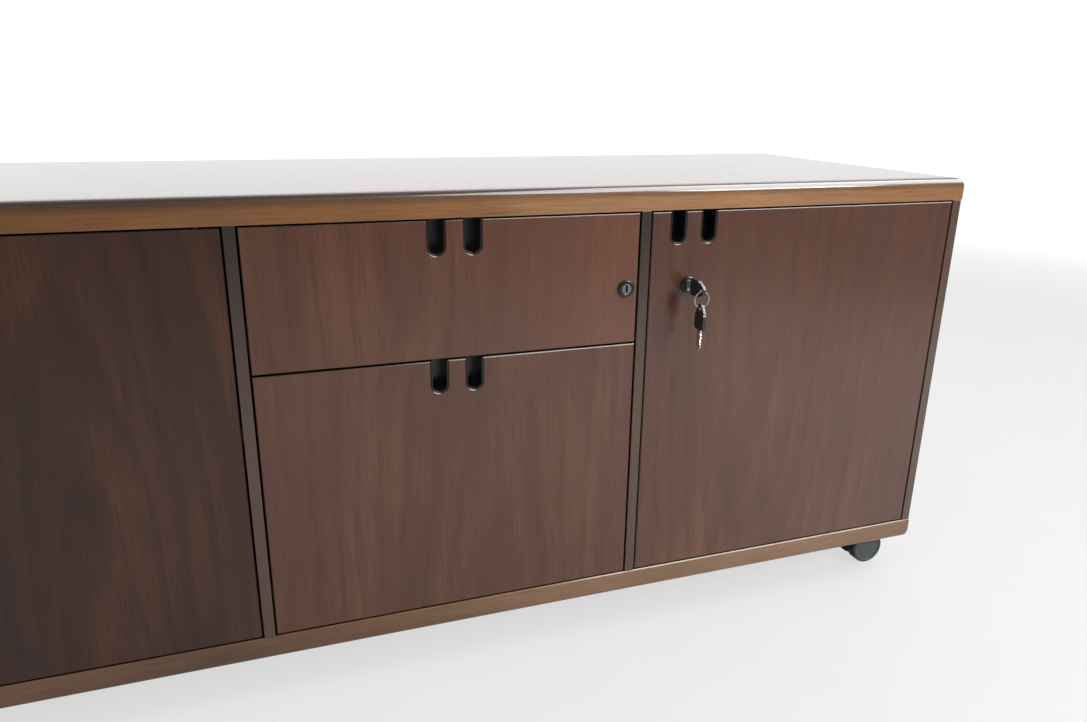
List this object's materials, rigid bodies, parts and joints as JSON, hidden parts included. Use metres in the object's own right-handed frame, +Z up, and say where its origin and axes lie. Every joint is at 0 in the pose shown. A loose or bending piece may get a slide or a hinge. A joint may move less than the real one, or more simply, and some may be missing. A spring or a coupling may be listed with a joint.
{
  "type": "office credenza",
  "caption": "Low office credenza on swivel casters: dark walnut veneer, rounded lipped top and base, hinged doors at the ends, drawers between them, slotted finger pulls and cam locks.",
  "frame": {"origin": "on the floor under the middle of the bounding box, which runs from the keys in front to the back edges", "axes": "+X to the right seen from the front, along the length; +Y towards the back; +Z up"},
  "size_m": [1.368, 0.4946, 0.584],
  "materials": {
    "walnut_veneer": "satin lacquered dark walnut veneer",
    "wood_lipping": "satin lacquered solid wood, golden brown",
    "black_plastic": "black moulded plastic",
    "hood_plastic": "black moulded nylon",
    "wheel_plastic": "dark grey nylon wheels",
    "zinc_steel": "zinc plated steel",
    "hinge_steel": "nickel plated steel",
    "grey_paint": "grey powder coated sheet steel",
    "nickel": "nickel plated",
    "black_metal": "black satin"
  },
  "bodies": {
    "carcass": {"top_board": "walnut_veneer", "top_lipping": "wood_lipping", "bottom_board": "walnut_veneer", "bottom_lipping": "wood_lipping", "side_panel_left": "walnut_veneer", "side_panel_right": "walnut_veneer", "divider_left": "walnut_veneer", "divider_right": "walnut_veneer", "back_panel": "walnut_veneer", "shelf_left": "walnut_veneer", "shelf_right": "walnut_veneer", "carcass_left_lower_leaf": "hinge_steel", "carcass_left_upper_leaf": "hinge_steel", "carcass_right_lower_leaf": "hinge_steel", "carcass_right_upper_leaf": "hinge_steel", "cabinet_upper_runner_left": "zinc_steel", "cabinet_upper_runner_right": "zinc_steel", "cabinet_lower_runner_left": "zinc_steel", "cabinet_lower_runner_right": "zinc_steel", "caster_front_left_plate": "zinc_steel", "caster_front_right_plate": "zinc_steel", "caster_rear_left_plate": "zinc_steel", "caster_rear_right_plate": "zinc_steel"},
    "door_left": {"door_left": "walnut_veneer", "door_left_pull_liner": "black_plastic", "door_left_lock_housing": "black_metal", "door_left_lower_leaf": "hinge_steel", "door_left_upper_leaf": "hinge_steel"},
    "door_left_lock": {"door_left_lock_plug": "nickel"},
    "door_right": {"door_right": "walnut_veneer", "door_right_pull_liner": "black_plastic", "door_right_lock_housing": "black_metal", "door_right_lower_leaf": "hinge_steel", "door_right_upper_leaf": "hinge_steel"},
    "door_right_lock": {"door_right_lock_plug": "nickel", "key_blade": "nickel", "key_head": "black_plastic"},
    "key_ring": {"key_ring": "nickel"},
    "spare_key": {"spare_key_blade": "nickel", "spare_key_head": "black_plastic"},
    "drawer_upper": {"drawer_upper_front": "walnut_veneer", "drawer_upper_pull_liner": "black_plastic", "drawer_upper_box": "grey_paint", "drawer_upper_runner_left": "zinc_steel", "drawer_upper_runner_right": "zinc_steel", "drawer_lock_housing": "black_metal"},
    "drawer_lower": {"drawer_lower_front": "walnut_veneer", "drawer_lower_pull_liner": "black_plastic", "drawer_lower_box": "grey_paint", "drawer_lower_runner_left": "zinc_steel", "drawer_lower_runner_right": "zinc_steel"},
    "drawer_lock": {"drawer_lock_plug": "nickel"},
    "caster_front_left": {"caster_front_left_hood": "hood_plastic"},
    "caster_front_left_wheels": {"caster_front_left_wheels": "wheel_plastic"},
    "caster_front_right": {"caster_front_right_hood": "hood_plastic"},
    "caster_front_right_wheels": {"caster_front_right_wheels": "wheel_plastic"},
    "caster_rear_left": {"caster_rear_left_hood": "hood_plastic"},
    "caster_rear_left_wheels": {"caster_rear_left_wheels": "wheel_plastic"},
    "caster_rear_right": {"caster_rear_right_hood": "hood_plastic"},
    "caster_rear_right_wheels": {"caster_rear_right_wheels": "wheel_plastic"}
  },
  "joints": [
    {"name": "door_left_hinge", "type": "hinge", "parent": "carcass", "child": "door_left", "pos_m": [-0.255, -0.19475, 0.321], "axis": [0, 0, 1], "range_deg": [0, 90]},
    {"name": "door_left_lock_turn", "type": "hinge", "parent": "door_left", "child": "door_left_lock", "pos_m": [-0.616, -0.20275, 0.467], "axis": [0, 1, 0], "range_deg": [0, 90]},
    {"name": "door_right_hinge", "type": "hinge", "parent": "carcass", "child": "door_right", "pos_m": [0.645, -0.19475, 0.321], "axis": [0, 0, 1], "range_deg": [0, 90]},
    {"name": "door_right_lock_turn", "type": "hinge", "parent": "door_right", "child": "door_right_lock", "pos_m": [0.284, -0.20275, 0.467], "axis": [0, 1, 0], "range_deg": [0, 90]},
    {"name": "key_ring_swing", "type": "hinge", "parent": "door_right_lock", "child": "key_ring", "pos_m": [0.284, -0.23725, 0.4656], "axis": [1, 0, 0], "range_deg": [-45, 12]},
    {"name": "spare_key_swing", "type": "hinge", "parent": "key_ring", "child": "spare_key", "pos_m": [0.284, -0.23725, 0.447], "axis": [1, 0, 0], "range_deg": [-20, 10]},
    {"name": "drawer_upper_slide", "type": "slide", "parent": "carcass", "child": "drawer_upper", "axis": [0, -1, 0], "range_m": [0, 0.3]},
    {"name": "drawer_lower_slide", "type": "slide", "parent": "carcass", "child": "drawer_lower", "axis": [0, -1, 0], "range_m": [0, 0.3]},
    {"name": "drawer_lock_turn", "type": "hinge", "parent": "drawer_upper", "child": "drawer_lock", "pos_m": [0.2025, -0.20275, 0.467], "axis": [0, -1, 0], "range_deg": [0, 90]},
    {"name": "caster_front_left_swivel", "type": "hinge", "parent": "carcass", "child": "caster_front_left", "pos_m": [-0.626, -0.14475, 0.045], "axis": [0, 0, 1], "continuous": true},
    {"name": "caster_front_left_roll", "type": "hinge", "parent": "caster_front_left", "child": "caster_front_left_wheels", "pos_m": [-0.606, -0.14475, 0.025], "axis": [0, 1, 0], "continuous": true},
    {"name": "caster_front_right_swivel", "type": "hinge", "parent": "carcass", "child": "caster_front_right", "pos_m": [0.626, -0.14475, 0.045], "axis": [0, 0, 1], "continuous": true},
    {"name": "caster_front_right_roll", "type": "hinge", "parent": "caster_front_right", "child": "caster_front_right_wheels", "pos_m": [0.646, -0.14475, 0.025], "axis": [0, 1, 0], "continuous": true},
    {"name": "caster_rear_left_swivel", "type": "hinge", "parent": "carcass", "child": "caster_rear_left", "pos_m": [-0.626, 0.18925, 0.045], "axis": [0, 0, 1], "continuous": true},
    {"name": "caster_rear_left_roll", "type": "hinge", "parent": "caster_rear_left", "child": "caster_rear_left_wheels", "pos_m": [-0.606, 0.18925, 0.025], "axis": [0, 1, 0], "continuous": true},
    {"name": "caster_rear_right_swivel", "type": "hinge", "parent": "carcass", "child": "caster_rear_right", "pos_m": [0.626, 0.18925, 0.045], "axis": [0, 0, 1], "continuous": true},
    {"name": "caster_rear_right_roll", "type": "hinge", "parent": "caster_rear_right", "child": "caster_rear_right_wheels", "pos_m": [0.646, 0.18925, 0.025], "axis": [0, 1, 0], "continuous": true}
  ]
}
